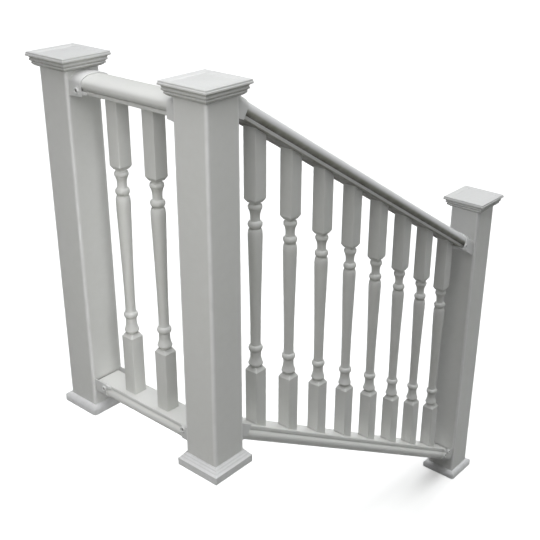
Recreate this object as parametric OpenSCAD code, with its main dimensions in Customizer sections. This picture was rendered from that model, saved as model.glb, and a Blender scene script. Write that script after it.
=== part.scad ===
// Vinyl stair railing: a level bay with two turned balusters meets a stair bay with eight at a corner post.
// Origin at the foot of the corner post. +X runs down the stair, +Y along the level bay, +Z is up.

/* [Posts] */
// Width of a square post sleeve across its flats
post_w = 101.6; // [90:0.1:130]
// Wall thickness of a post sleeve
post_wall = 3.8; // [2.5:0.1:6]
// Radius of the post sleeve's outer corners
post_corner_r = 6; // [3:0.5:10]
// Distance from the crown of the level top rail up to the upper post's cap
upper_cap_above_rail = 5.5; // [2:0.5:60]
// Distance from the crown of the level top rail up to the corner post's cap
corner_cap_above_rail = 7.5; // [2:0.5:60]
// Distance from the crown of the stair top rail, at the lower post's axis, up to that post's cap
lower_cap_above_rail = 125; // [100:0.5:180]

/* [Bays] */
// Distance between the axes of the upper post and the corner post
level_span = 459; // [380:1:620]
// Horizontal distance between the axes of the corner post and the lower post
stair_span = 1241; // [1020:1:1500]
// Slope of the stair rails, in degrees below level
stair_angle = 31.6; // [26:0.1:39]
// Distance between the corner post and the level bay's first baluster, and from its last to the upper post
level_end_gap = 97.4; // [70:0.1:110]
// Distance between the corner post and the stair bay's first baluster
stair_upper_gap = 85.1; // [60:0.1:110]
// Distance between the stair bay's last baluster and the lower post
stair_lower_gap = 93.7; // [80:0.1:120]

/* [Rails] */
// Height of the level bottom rail's flat side above the foot of the corner post
bottom_rail_h = 97.5; // [80:0.5:140]
// Distance that the stair rails, carried up to the corner post's axis, lie above the level rails
stair_rail_rise = 39.5; // [30:0.5:60]
// Height of the stair bottom rail's flat side above the lower post's foot, at that post's axis
lower_rail_h = 79.6; // [55:0.1:110]
// Vertical distance between the flat sides of a top rail and a bottom rail
rail_gap = 793; // [640:1:960]
// Height of the rail moulding
rail_h = 44; // [36:0.5:60]
// Height of the rounded crown above the widest place of the loaf
crown_h = 21; // [12:0.5:24]
// Fullness of the crown: 2 gives an ellipse, and more gives squarer shoulders
crown_fullness = 2.35; // [2:0.05:3]
// Width of the lip along the rail's flat side
lip_w = 69.5; // [50:0.5:76]
// Height of the lip
lip_h = 9.5; // [5:0.5:12]
// Radius of the lip's edges along the flat side
lip_round = 2.5; // [1:0.25:4]
// Depth of the groove between the lip and the loaf, inward from the lip's face
lip_groove = 3; // [2:0.5:8]
// Distance that the loaf bulges beyond the lip on each side
loaf_bulge = 7.25; // [1:0.25:12]
// Wall thickness of the hollow rail
rail_wall = 3; // [2:0.1:4]

/* [Balusters] */
// Width of the baluster's square blocks
baluster_w = 38.1; // [30:0.1:46]
// Length of the turned middle between the square blocks
turned_len = 464; // [380:1:560]
// Distance that a baluster's end reaches into a rail
baluster_tenon = 18; // [8:0.5:24]
// Depth that the rings and the vase's shoulder are turned below the block's flats
ring_cut = 1.4; // [0.5:0.1:4]
// Depth that the neck between the two upper rings is turned below the block's flats
neck_cut = 7; // [4:0.1:10]
// Depth that the grooves beside the rings are turned below the block's flats
groove_cut = 5; // [3:0.1:8]
// Depth that the vase's slender lower end is turned below the block's flats
waist_cut = 5.8; // [4:0.1:9]

/* [Caps] */
// Distance that the cap's slab stands out beyond the post on each side
cap_overhang = 21.4; // [16:0.1:36]
// Height of the cap from its lower edge to the crest of its rim
cap_h = 35; // [31:0.5:46]
// Thickness of the cap's slab, with the plate on top of it
cap_slab = 10.5; // [8:0.5:13]
// Thickness of the plate that the slab carries
cap_plate_h = 4.5; // [3:0.5:6]
// Distance that the plate stands back from the slab's edge
cap_plate_back = 1.2; // [0.5:0.1:3]
// Width of the rim round the sunken panel
cap_rim = 16; // [8:0.5:30]
// Height that the rim falls from its crest to the panel
cap_rim_fall = 2; // [0:0.1:3]
// Depth of the step from the rim down to the panel
cap_panel_step = 1.2; // [0.5:0.1:3]
// Height that the low roof gains from the panel's edge to its middle
cap_roof_rise = 2; // [0.5:0.1:6]
// Radius of the hollow curve under the slab
cap_cove_r = 5.5; // [2:0.5:6]
// Distance that the upper ridge stands back from the slab's edge
cap_ridge_back = 5.6; // [3:0.1:8]
// Distance that the lower ridge stands back from the upper one
cap_ridge_step = 3.6; // [0.5:0.1:4]
// Height of each ridge
cap_ridge_h = 5; // [3:0.5:6]
// Depth of the grooves beside the ridges
cap_groove = 1.5; // [1:0.1:3]
// Height of the groove between the ridges
cap_groove_h = 3; // [1:0.5:4]
// Radius of the rounded sweep from the post up to the lower ridge
cap_sweep_r = 20; // [14:0.5:40]
// Thickness of the cap's lower edge round the post
cap_skirt = 2.2; // [1.5:0.1:4]
// Thickness of the cap's roof
cap_wall = 3; // [2:0.5:5]
// Depth of the square recess that holds the post's top
cap_recess = 21; // [14:0.5:24]

/* [Base trims] */
// Distance that a base trim stands out beyond the post on each side
trim_reach = 15.5; // [10:0.1:30]
// Height of the corner post's stepped trim
step_trim_h = 38; // [30:0.5:50]
// Height of the stepped trim's upright face
step_trim_face = 20; // [12:0.5:26]
// Number of steps above the stepped trim's face
trim_steps = 3; // [2:1:5]
// Height of the round trims
round_trim_h = 24; // [18:0.5:32]
// Height of the round trims' upright face
round_trim_face = 6; // [2:0.5:12]
// Radius of the round trims' corners in plan
round_trim_r = 10; // [4:0.5:14]

/* [Brackets] */
// Length of the level rails' brackets at the upper post
bracket_len = 45; // [20:0.5:60]
// Length of the level rails' brackets at the corner post
corner_bracket_len = 24; // [20:0.5:60]
// Length of the stair's top rail brackets along the upper side of the rail
stair_bracket_len = 51; // [36:0.5:56]
// Length of the stair's bottom rail bracket at the corner post, along the rail's flat side
low_corner_bracket_len = 40; // [36:0.5:64]
// Length of the stair's bottom rail bracket at the lower post, along the rail's flat side
low_end_bracket_len = 62; // [36:0.5:70]
// Distance that a bracket's side walls stand beyond the rail's flat side at the post
bracket_stand = 6.5; // [5:0.5:12]
// Wall thickness of a rail bracket
bracket_wall = 2.6; // [2:0.1:4]

/* [Anchors] */
// Thickness of an anchor's foot plate
anchor_plate = 8; // [5:0.5:12]
// Height of the square socket that stands on an anchor's plate
anchor_h = 60; // [40:1:120]
// Wall thickness of an anchor's socket
anchor_wall = 5; // [3:0.5:8]
// Distance between the anchor's bolt holes
anchor_pitch = 58; // [46:0.5:70]
// Diameter of the anchor's bolt holes
anchor_hole_d = 11; // [8:0.5:13]

/* [Fits] */
// Clearance between pieces that slide over each other
fit_gap = 0.3; // [0.2:0.05:0.6]
// Clearance round a baluster in the square hole of a rail
socket_gap = 0.5; // [0.3:0.05:1]
// Distance that a rail stops short of a post, inside its bracket
rail_end_gap = 4; // [1:0.5:8]
// Clearance between the coped end of the stair top rail and the cap above it
cope_gap = 1; // [0.5:0.1:3]

/* [Hidden] */

vinyl = [0.93, 0.93, 0.92];
metal = [0.72, 0.73, 0.74];
arc_step = 10;
round_facets = 64;
level_balusters = 2;
stair_balusters = 8;

slope = tan(stair_angle);
run = 1 / cos(stair_angle);
post_half = post_w / 2;
post_inner = post_w - 2 * post_wall;
trim_hole = post_w + 2 * fit_gap;
loaf_w = lip_w + 2 * loaf_bulge;
neck_w = lip_w - 2 * lip_groove;
loaf_mid = rail_h - crown_h;
rail_reach = post_half + rail_end_gap;

// Heights of the rails' flat sides, and of the caps' undersides, above the foot of the corner post
level_top = bottom_rail_h + rail_gap;
stair_bottom = bottom_rail_h + stair_rail_rise;
stair_top = stair_bottom + rail_gap;
upper_post_h = level_top + rail_h + upper_cap_above_rail;
corner_post_h = level_top + rail_h + corner_cap_above_rail;
lower_post_h = lower_rail_h + rail_gap + rail_h * run + lower_cap_above_rail;

// Lengths of the post sleeves, whose tops stop a clearance short of the recesses in their caps
upper_post_top = upper_post_h + cap_recess - fit_gap;
corner_post_top = corner_post_h + cap_recess - fit_gap;
lower_post_top = lower_post_h + cap_recess - fit_gap;

// Foot of each post: the lower one follows the slope of the rails
stair_drop = stair_span * slope - stair_bottom + lower_rail_h;
upper_foot = [0, level_span, 0];
corner_foot = [0, 0, 0];
lower_foot = [stair_span, 0, -stair_drop];

// Distance between neighbouring balusters, spread evenly over each bay
level_pitch = (level_span - post_w - 2 * level_end_gap - baluster_w) / (level_balusters - 1);
stair_pitch = (stair_span - post_w - stair_upper_gap - stair_lower_gap - baluster_w) / (stair_balusters - 1);

// Longer than anything in the railing, for cutting planes
far = 3 * (stair_span + level_span);

// Points of an arc about a centre, from one angle to another
function arc(c, r, a0, a1, step = arc_step) =
    let (n = max(1, round(abs(a1 - a0) / step)))
    [for (i = [0 : n]) let (a = a0 + (a1 - a0) * i / n) c + r * [cos(a), sin(a)]];

// An outline's other half, in reverse order
function flipped(points) = [for (i = [len(points) - 1 : -1 : 0]) [-points[i][0], points[i][1]]];

// An outline's right half and its mirror image, as one outline
function both(points) = concat(points, flipped(points));

// Points of an arc of radius r from p to q, bulging to the right of the way from p to q
function bulge(p, q, r) =
    let (half = (q - p) / 2, c = (p + q) / 2 + sqrt(r * r - half * half) / norm(half) * [-half[1], half[0]])
    arc(c, r, atan2(p[1] - c[1], p[0] - c[0]), atan2(q[1] - c[1], q[0] - c[0]));

// A square moulding, mitred at its corners, from half of its outline
module mitred(side) {
    intersection() {
        rotate([90, 0, 0]) linear_extrude(height = 4 * post_w, center = true) polygon(both(side));
        rotate([90, 0, 90]) linear_extrude(height = 4 * post_w, center = true) polygon(both(side));
    }
}

module rounded_square(w, r) {
    union() {
        square([w - 2 * r, w], center = true);
        square([w, w - 2 * r], center = true);
        for (x = [-1, 1], y = [-1, 1])
            translate([x, y] * (w / 2 - r)) circle(r = r, $fn = 32);
    }
}

// ---- Posts ----
module post_sleeve(h) {
    color(vinyl) linear_extrude(height = h)
        difference() {
            rounded_square(post_w, post_corner_r);
            square(post_inner, center = true);
        }
}

// ---- Caps ----
cap_half = post_half + cap_overhang;
cap_edge = 1.2;
cap_crest = 1.5;
cap_crest_u = cap_half - cap_plate_back - cap_crest;
cap_panel_u = cap_crest_u - cap_rim;
cap_panel_z = cap_h - cap_rim_fall - cap_panel_step;

// A ridge that stands out to u, centred on height z, from angle t0 below it to straight above
function ridge(u, z, t0 = -90) = [for (t = [t0 : 45 : 90])
    [u - cap_groove * (1 - cos(t)), z + cap_ridge_h / 2 * sin(t)]];

// Half the cap's outline: the sweep out from the post, two ridges, a hollow, the slab and its plate
function cap_side() =
    let (under = cap_h - cap_slab, plate_u = cap_half - cap_plate_back, plate_z = cap_h - cap_plate_h,
         upper_u = cap_half - cap_ridge_back, lower_u = upper_u - cap_ridge_step,
         cove_r = min(cap_cove_r, cap_ridge_back + cap_groove - cap_edge),
         cove = [upper_u - cap_groove + cove_r, under - cove_r],
         upper_z = cove[1] - cap_ridge_h / 2, lower_z = upper_z - cap_ridge_h - cap_groove_h,
         sweep_end = [lower_u - cap_groove, lower_z - cap_ridge_h / 2])
    concat(
        bulge([post_half + fit_gap + cap_skirt, 0], sweep_end, cap_sweep_r),
        ridge(lower_u, lower_z, -45),
        ridge(upper_u, upper_z),
        arc(cove, cove_r, 162, 90, 18),
        [[cap_half - cap_edge, under], [cap_half, under + cap_edge]],
        [[cap_half, plate_z - cap_edge], [cap_half - cap_edge, plate_z], [plate_u, plate_z]],
        arc([cap_crest_u, cap_h - cap_crest], cap_crest, 0, 90, 30),
        [[0, cap_h]]);

// The space inside the rim: the rim falls from its crest, then steps down to the panel
function panel_side() = [[cap_panel_u - cap_panel_step, cap_panel_z], [cap_panel_u, cap_h - cap_rim_fall],
    [cap_crest_u, cap_h], [cap_crest_u, cap_h + 1]];

// The low roof on the panel, rooted in the slab
function roof_side() =
    let (u = cap_panel_u - cap_panel_step)
    [[u, cap_panel_z - 1], [u, cap_panel_z], [0, cap_panel_z + cap_roof_rise]];

module cap() {
    lining = post_inner - 2 * post_wall;
    hollow_h = cap_panel_z - cap_wall;
    color(vinyl) difference() {
        union() {
            difference() {
                mitred(cap_side());
                mitred(panel_side());
            }
            mitred(roof_side());
        }
        translate([0, 0, cap_recess / 2 - 0.5])
            cube([trim_hole, trim_hole, cap_recess + 1], center = true);
        translate([0, 0, hollow_h / 2]) cube([lining, lining, hollow_h], center = true);
    }
}

// ---- Base trims ----
trim_half = post_half + trim_reach;
trim_edge = 1.5;

module step_trim() {
    tread = (trim_reach - fit_gap - trim_edge) / trim_steps;
    riser = (step_trim_h - step_trim_face) / trim_steps;
    nosing = riser / 5;
    side = concat([[trim_half, 0], [trim_half, step_trim_face]],
        [for (i = [0 : trim_steps - 1])
            let (x = trim_half - trim_edge - tread * i, z = step_trim_face + riser * i)
            each [[x, z + nosing], [x - tread + nosing, z + riser - nosing]]],
        [[post_half + fit_gap + trim_edge, step_trim_h]]);
    color(vinyl) difference() {
        mitred(side);
        cube([trim_hole, trim_hole, 4 * step_trim_h], center = true);
    }
}

module round_trim() {
    sweep = trim_reach - fit_gap - trim_edge;
    crown = round_trim_h - round_trim_face;
    side = concat([[trim_half, 0]],
        [for (a = [0 : 15 : 90]) [trim_half - sweep * (1 - cos(a)), round_trim_face + crown * sin(a)]]);
    color(vinyl) difference() {
        intersection() {
            mitred(side);
            linear_extrude(height = 2 * round_trim_h) rounded_square(2 * trim_half, round_trim_r);
        }
        cube([trim_hole, trim_hole, 4 * round_trim_h], center = true);
    }
}

// ---- Anchors ----
module anchor() {
    w = post_inner - 2 * fit_gap;
    hollow = w - 2 * anchor_wall;
    color(metal) difference() {
        translate([-w / 2, -w / 2, 0]) cube([w, w, anchor_h]);
        translate([-hollow / 2, -hollow / 2, anchor_plate]) cube([hollow, hollow, anchor_h]);
        for (x = [-1, 1], y = [-1, 1])
            translate([x * anchor_pitch / 2, y * anchor_pitch / 2, -1])
                cylinder(d = anchor_hole_d, h = anchor_plate + 2, $fn = 48);
    }
}

// ---- Rails ----
// Right half of the crown, from its widest place to its top, for the loaf or for a cover g outside it
function crown_points(g) =
    let (a = loaf_w / 2 + g, b = crown_h + g, k = 2 / crown_fullness)
    [for (t = [0 : arc_step : 90]) [a * pow(cos(t), k), loaf_mid + b * pow(sin(t), k)]];

// Right half of the rail's outline, from its flat side to its crown, or of the hollow inside a wall
function rail_side(wall = 0) =
    let (lip = lip_w / 2 - wall, neck = neck_w / 2 - wall, a = loaf_w / 2 - wall,
         down = (loaf_mid - lip_h) / sqrt(1 - pow(neck / a, 2)), start = -acos(neck / a))
    concat(wall > 0 ? [[lip, wall]] : arc([lip - lip_round, lip_round], lip_round, -90, 0, 30),
        [[lip, lip_h - wall], [neck, lip_h - wall]],
        wall > 0 ? [[neck, lip_h]] : [],
        [for (i = [1 : 4]) let (t = start * (1 - i / 5)) [a * cos(t), loaf_mid + down * sin(t)]],
        crown_points(-wall));

// Draws an outline along +X, with the outline's own upright as +Z
module along(x0, x1) {
    translate([x0, 0, 0]) rotate([90, 0, 90]) linear_extrude(height = x1 - x0) children();
}

// A length of hollow rail along +X, with its flat side on z = 0 and its crown up
module rail_tube(x0, x1) {
    along(x0, x1) difference() {
        polygon(both(rail_side()));
        polygon(both(rail_side(rail_wall)));
    }
}

// Turns its children crown down for a bottom rail
module crown_side(up) {
    mirror([0, 0, up ? 0 : 1]) children();
}

// Places its children, drawn along +X with the flat side on z = 0, in the stair's slope
module on_slope(z) {
    translate([0, 0, z]) rotate([0, stair_angle, 0]) children();
}

// Keeps what lies between two upright planes across +X
module between(x0, x1) {
    intersection() {
        children();
        translate([x0, -far / 2, -far]) cube([x1 - x0, far, 2 * far]);
    }
}

// An upright square bar whose ends slope with the rails
module square_bar(w, z_low, z_high, tilt) {
    b = w / 2;
    drop = b * tilt;
    rotate([90, 0, 0]) linear_extrude(height = w, center = true)
        polygon([[-b, z_low + drop], [b, z_low - drop], [b, z_high - drop], [-b, z_high + drop]]);
}

// The hole for one baluster through the flat wall of a rail, whose flat side is at z
module socket(z, up, tilt) {
    deep = 2 * rail_wall;
    square_bar(baluster_w + 2 * socket_gap, z - (up ? 1 : deep), z + (up ? deep : 1), tilt);
}

function level_baluster_y(i) = level_span / 2 + (i - (level_balusters + 1) / 2) * level_pitch;
function stair_baluster_x(i) = post_half + stair_upper_gap + baluster_w / 2 + (i - 1) * stair_pitch;

module level_rail(z, up) {
    color(vinyl) difference() {
        translate([0, 0, z]) rotate([0, 0, 90]) crown_side(up) rail_tube(rail_reach, level_span - rail_reach);
        for (i = [1 : level_balusters]) translate([0, level_baluster_y(i), 0]) socket(z, up, 0);
    }
}

// The space that the corner post's cap takes, a little lower, so that what meets it is coped clear
module cap_cope() {
    translate([0, 0, corner_post_h - cope_gap]) mitred(cap_side());
}

module stair_rail(z, up) {
    color(vinyl) difference() {
        between(rail_reach, stair_span - rail_reach)
            on_slope(z) crown_side(up) rail_tube(-2 * rail_reach, stair_span * run + 2 * rail_reach);
        for (i = [1 : stair_balusters])
            translate([stair_baluster_x(i), 0, 0]) socket(z - slope * stair_baluster_x(i), up, slope);
        if (up) cap_cope();
    }
}

// ---- Brackets ----
// Outline of a box with a crown that fits over the rail, g outside it, from height z_low up
function box_outline(g, z_low) = both(concat([[loaf_w / 2 + g, z_low]], crown_points(g)));

// A bracket round a rail's end, along +X from a post's face to its outer end, and by spare into the post.
// Under a top rail it has a floor, and its side walls run out to the floor; at a bottom rail it is open.
module bracket_box(face, outer, spare, floored) {
    away = sign(outer - face);
    inside = face - away * spare;
    cavity = loaf_w / 2 + fit_gap;
    floor_z = -fit_gap - bracket_wall;
    deep = -2 * bracket_stand;
    difference() {
        along(min(inside, outer), max(inside, outer)) difference() {
            polygon(box_outline(fit_gap + bracket_wall, -bracket_stand));
            polygon(box_outline(fit_gap, floored ? -fit_gap : deep));
            if (floored) translate([-cavity, deep]) square([2 * cavity, floor_z - deep]);
        }
        if (floored) rotate([90, 0, 0]) linear_extrude(height = 2 * loaf_w, center = true)
            polygon([[face, -bracket_stand], [outer, floor_z], [outer + away, floor_z],
                [outer + away, deep], [face, deep]]);
    }
}

module level_bracket(z, up, at_corner) {
    face = at_corner ? post_half : level_span - post_half;
    away = at_corner ? 1 : -1;
    length = at_corner ? corner_bracket_len : bracket_len;
    color(vinyl) translate([0, 0, z]) rotate([0, 0, 90]) crown_side(up)
        bracket_box(face, face + away * length, 0, up);
}

module stair_bracket(z, up, at_corner) {
    face = (at_corner ? post_half : stair_span - post_half) * run;
    away = at_corner ? 1 : -1;
    upper_face = face - (up ? rail_h * slope : 0);
    low_len = at_corner ? low_corner_bracket_len : low_end_bracket_len;
    length = up ? stair_bracket_len : low_len;
    color(vinyl) difference() {
        between(post_half, stair_span - post_half)
            on_slope(z) crown_side(up)
                bracket_box(face, upper_face + away * length, 2 * rail_h, up);
        if (up && at_corner) cap_cope();
    }
}

// ---- Balusters ----
block_r = baluster_w / sqrt(2);
ring_r = baluster_w / 2 - ring_cut;
neck_r = baluster_w / 2 - neck_cut;
groove_r = baluster_w / 2 - groove_cut;
waist_r = baluster_w / 2 - waist_cut;
vase_r = ring_r + 0.7;

// Heights above the lower block's upper end, then depths below the upper block's lower end
shoulder_h = 16;
bell_low = 21;
bell_high = 40;
foot_ring = 63;
waist_low = 73;
waist_high = 90;
vase_top = 95;
body_ring = 65;
neck_low = 54;
neck_high = 44;
crown_ring = 21;
bead_half = 8;

// A rounded ring about height z, as points of [radius, height]
function bead(z, r, half, inner) =
    [for (i = [-4 : 4]) let (t = i * 22.5) [inner + (r - inner) * cos(t), z + half * sin(t)]];

// Shoulder between a square block, at height 0, and the turned part above it
function shoulder(h) = [[block_r, 0], [block_r - 3, h / 4], [ring_r + 2, h * 3 / 4], [ring_r - 0.6, h]];

// The vase swells from its waist, slowly at first, to its shoulder
function vase(z0, z1) = [for (i = [0 : 12]) let (u = i / 12)
    [waist_r + (vase_r - waist_r) * u * u * (2 - u), z0 + (z1 - z0) * u]];

// Turned outline of a baluster as [radius, height], rising from the lower block's upper end at height 0
function turned_side() =
    let (outer = 2 * baluster_w, top = turned_len)
    concat(
        [[0, -far / 2], [outer, -far / 2], [outer, 0]],
        shoulder(shoulder_h),
        [[groove_r + 1, shoulder_h + 1], [groove_r + 2.5, bell_low - 2], [ring_r, bell_low]],
        [[ring_r - 1, bell_low + 6], [groove_r + 1, bell_high - 7], [groove_r, bell_high]],
        bead(foot_ring, ring_r, bead_half, groove_r),
        [[waist_r, waist_low]],
        vase(waist_high, top - vase_top),
        arc([vase_r - 6, top - vase_top], 6, 10, 75),
        [[groove_r, top - body_ring - bead_half - 4]],
        bead(top - body_ring, ring_r, bead_half, neck_r + 1),
        [[neck_r, top - neck_low], [neck_r, top - neck_high]],
        [[neck_r + 0.8, top - neck_high + 8], [groove_r + 1, top - crown_ring - 8]],
        bead(top - crown_ring, ring_r, bead_half - 1.5, groove_r + 0.5),
        [[groove_r, top - 13], [groove_r, top - 8]],
        [[ring_r, top - 6], [ring_r + 4, top - 4], [block_r - 2, top - 1], [block_r, top]],
        [[outer, top], [outer, far / 2], [0, far / 2]]);

// A baluster whose ends reach into the rails with flat sides at z_low and z_high
module baluster(z_low, z_high, tilt) {
    color(vinyl) intersection() {
        square_bar(baluster_w, z_low - baluster_tenon, z_high + baluster_tenon, tilt);
        translate([0, 0, (z_low + z_high - turned_len) / 2])
            rotate_extrude($fn = round_facets) polygon(turned_side());
    }
}

module level_baluster(i) {
    translate([0, level_baluster_y(i), 0]) baluster(bottom_rail_h, level_top, 0);
}

module stair_baluster(i) {
    x = stair_baluster_x(i);
    translate([x, 0, 0]) baluster(stair_bottom - slope * x, stair_top - slope * x, slope);
}

translate(upper_foot) post_sleeve(upper_post_top);  // post_upper
translate(corner_foot) post_sleeve(corner_post_top);  // post_corner
translate(lower_foot) post_sleeve(lower_post_top);  // post_lower
translate(upper_foot + [0, 0, upper_post_h]) cap();  // cap_upper
translate(corner_foot + [0, 0, corner_post_h]) cap();  // cap_corner
translate(lower_foot + [0, 0, lower_post_h]) cap();  // cap_lower
translate(upper_foot) round_trim();  // base_trim_upper
translate(corner_foot) step_trim();  // base_trim_corner
translate(lower_foot) round_trim();  // base_trim_lower
translate(upper_foot) anchor();  // anchor_upper
translate(corner_foot) anchor();  // anchor_corner
translate(lower_foot) anchor();  // anchor_lower
level_rail(level_top, true);  // level_top_rail
level_rail(bottom_rail_h, false);  // level_bottom_rail
stair_rail(stair_top, true);  // stair_top_rail
stair_rail(stair_bottom, false);  // stair_bottom_rail
level_bracket(level_top, true, false);  // bracket_level_top_upper
level_bracket(level_top, true, true);  // bracket_level_top_corner
level_bracket(bottom_rail_h, false, false);  // bracket_level_bottom_upper
level_bracket(bottom_rail_h, false, true);  // bracket_level_bottom_corner
stair_bracket(stair_top, true, true);  // bracket_stair_top_corner
stair_bracket(stair_top, true, false);  // bracket_stair_top_lower
stair_bracket(stair_bottom, false, true);  // bracket_stair_bottom_corner
stair_bracket(stair_bottom, false, false);  // bracket_stair_bottom_lower
level_baluster(1);  // level_baluster_1
level_baluster(2);  // level_baluster_2
stair_baluster(1);  // stair_baluster_1
stair_baluster(2);  // stair_baluster_2
stair_baluster(3);  // stair_baluster_3
stair_baluster(4);  // stair_baluster_4
stair_baluster(5);  // stair_baluster_5
stair_baluster(6);  // stair_baluster_6
stair_baluster(7);  // stair_baluster_7
stair_baluster(8);  // stair_baluster_8
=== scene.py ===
"""White vinyl stair railing: finish, turned balusters, bracket fittings and stage, on the packed frame."""

import math

import bpy
from mathutils import Matrix, Vector


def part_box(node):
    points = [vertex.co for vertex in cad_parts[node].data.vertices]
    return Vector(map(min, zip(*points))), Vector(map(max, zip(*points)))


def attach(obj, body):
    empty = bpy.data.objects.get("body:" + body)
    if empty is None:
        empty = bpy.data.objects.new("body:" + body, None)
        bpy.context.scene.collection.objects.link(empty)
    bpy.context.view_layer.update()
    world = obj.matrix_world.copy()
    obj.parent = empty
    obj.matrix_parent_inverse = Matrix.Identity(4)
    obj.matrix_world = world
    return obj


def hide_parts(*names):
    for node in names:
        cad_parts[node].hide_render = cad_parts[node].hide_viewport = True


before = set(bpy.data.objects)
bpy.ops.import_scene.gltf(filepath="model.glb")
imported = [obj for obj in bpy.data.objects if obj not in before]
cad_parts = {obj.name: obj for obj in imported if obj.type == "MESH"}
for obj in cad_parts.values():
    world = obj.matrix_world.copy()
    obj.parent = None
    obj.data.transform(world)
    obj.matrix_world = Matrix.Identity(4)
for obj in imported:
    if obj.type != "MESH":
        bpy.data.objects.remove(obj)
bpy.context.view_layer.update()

bl_info = {
    "name": "Vinyl stair railing",
    "version": (1, 0, 0),
    "blender": (4, 5, 0),
    "location": "3D View > Sidebar > Railing",
    "description": "Finishes a white vinyl stair railing and lights it on a plain stage",
    "category": "Object",
}

MM = 0.001
SAME_PLACE = 0.00001  # vertices of a CAD copy nearer than this, in metres, are one
SAME_SPUN_PLACE = 0.000005  # the same for a spun outline
FLAT_WITHIN = 0.3  # degrees between triangles that are joined into one face
LOOKING = 0.9  # a face looks along an axis when its normal reaches this far along it
LEVEL_WITHIN = 0.01 * MM  # a vertex nearer than this to a height lies at it

LEVEL_BALUSTERS = ["level_baluster_%d" % i for i in range(1, 3)]
STAIR_BALUSTERS = ["stair_baluster_%d" % i for i in range(1, 9)]
POSTS = ["upper", "corner", "lower"]
RAILS = ["level_top", "level_bottom", "stair_top", "stair_bottom"]
BRACKETS = [
    "bracket_%s_%s" % (rail, post)
    for rail, posts in (
        ("level_top", ("upper", "corner")),
        ("level_bottom", ("upper", "corner")),
        ("stair_top", ("corner", "lower")),
        ("stair_bottom", ("corner", "lower")),
    )
    for post in posts
]

# Where screw cups stand: bracket, distance from the post's face, height above the rail's flat side, in mm
SCREW_CUPS = (
    ("bracket_level_top_upper", 29.6, 9.8),
    ("bracket_level_bottom_upper", 38.5, -8.4),
    ("bracket_level_bottom_corner", 15.0, -3.0),
    ("bracket_stair_top_lower", 58.0, 9.5),
    ("bracket_stair_bottom_lower", 30.3, -4.4),
    ("bracket_stair_bottom_lower", 55.0, -23.0),
)
LUGGED_BRACKETS = ("bracket_level_top_upper", "bracket_level_bottom_upper")

# Radii of the rounded edges, and how much longer the stair's bottom sockets are cut
CAP_EDGE, TRIM_EDGE, RAIL_EDGE, LUG_EDGE = 0.45 * MM, 0.4 * MM, 0.7 * MM, 0.9 * MM
SOCKET_EASE = 1.3 * MM
PANEL_CREASE = 0.8  # degrees of the slightest crease kept between a cap's panel and its roof

# A baluster's turned middle: the radius that a point is measured from, mm added to it, and its height in mm
ABOVE_LOWER_BLOCK = (
    ("axis", 0, 4), ("stem", 0, 4), ("stem", 0, 14.5), ("stem", 2.6, 15.6), ("bell", -1, 16.2),
    ("bell", -0.2, 17.4), ("bell", 0, 19), ("bell", -0.5, 21.5), ("bell", -1.6, 24.5), ("groove", 1.9, 29),
    ("groove", 0.9, 33), ("groove", 0.3, 37), ("groove", 0, 41), ("groove", 0, 54),
)
WAIST = (("waist", 0.2, 72.4), ("waist", 0, 74))
# The same, but with the depth under the upper block in mm
OVER_VASE = (("groove", -0.6, 76.4), ("groove", -0.6, 74.4))
UNDER_TOP_RING = (
    ("neck", 0.2, 55.5), ("neck", 0, 53.5), ("neck", 0, 44), ("neck", 0.3, 39.5), ("neck", 0.9, 35.5),
    ("neck", 1.9, 32), ("groove", 1, 29),
)
UNDER_UPPER_BLOCK = (("stem", 0, 13.5), ("stem", 0, 4), ("axis", 0, 4))
# How far the bell, the beads and the vase's shoulder stand past the ring's radius
BELL_OUT, BEAD_OUT, VASE_OUT = 1.15 * MM, 0.5 * MM, 0.7 * MM
LOWER_BEAD, UPPER_BEAD, TOP_RING = 63 * MM, 65 * MM, 21 * MM  # the first is a height, the others are depths
BEAD_HALF, RING_HALF = 8 * MM, 6.5 * MM
VASE_FOOT, VASE_SHOULDER, DOME_HEIGHT = 90 * MM, 95 * MM, 18 * MM  # a height, a depth and the dome over it
VASE_STEPS, DOME_STEPS = 24, 9

# Patches in the finishes: scale, detail and roughness of the noise, and the values of it that become 0 and 1
BROAD_PATCHES = (5.0, 5.0, 0.6, 0.34, 0.68)
FINE_PATCHES = (42.0, 6.0, 0.62, 0.36, 0.66)
DUST_SPECKS = (160.0, 5.0, 0.7, 0.50, 0.78)
SPLASH_SPOTS = (70.0, 6.0, 0.65, 0.42, 0.72)
# Patches that break up the painted highlight on the posts' corners
CORNER_HIGHLIGHT_PATCHES = (26.0, 4.0, 0.6, 0.3, 0.6)
METAL_PATCHES = (30.0, 6.0, 0.6, 0.35, 0.70)
# Grain in the finishes: scale, detail and roughness of the noise
DRAWN_LINES = (1.0, 3.0, 0.5)
PORES = (1400.0, 2.0, 0.5)
CAST_GRAIN = (700.0, 4.0, 0.6)
LINE_STRETCH = (900.0, 900.0, 9.0)  # drawn lines run along a piece's Z

# How far a surface faces up, and how sharply it turns, where an effect starts and where it is full
FACING_UP = (0.35, 0.95)
LEANING_DOWN = (0.15, -0.35)
FACING_DOWN = (-0.4, -0.8)
OUTER_EDGE = (0.53, 0.60)
INNER_CORNER = (0.47, 0.40)

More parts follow.
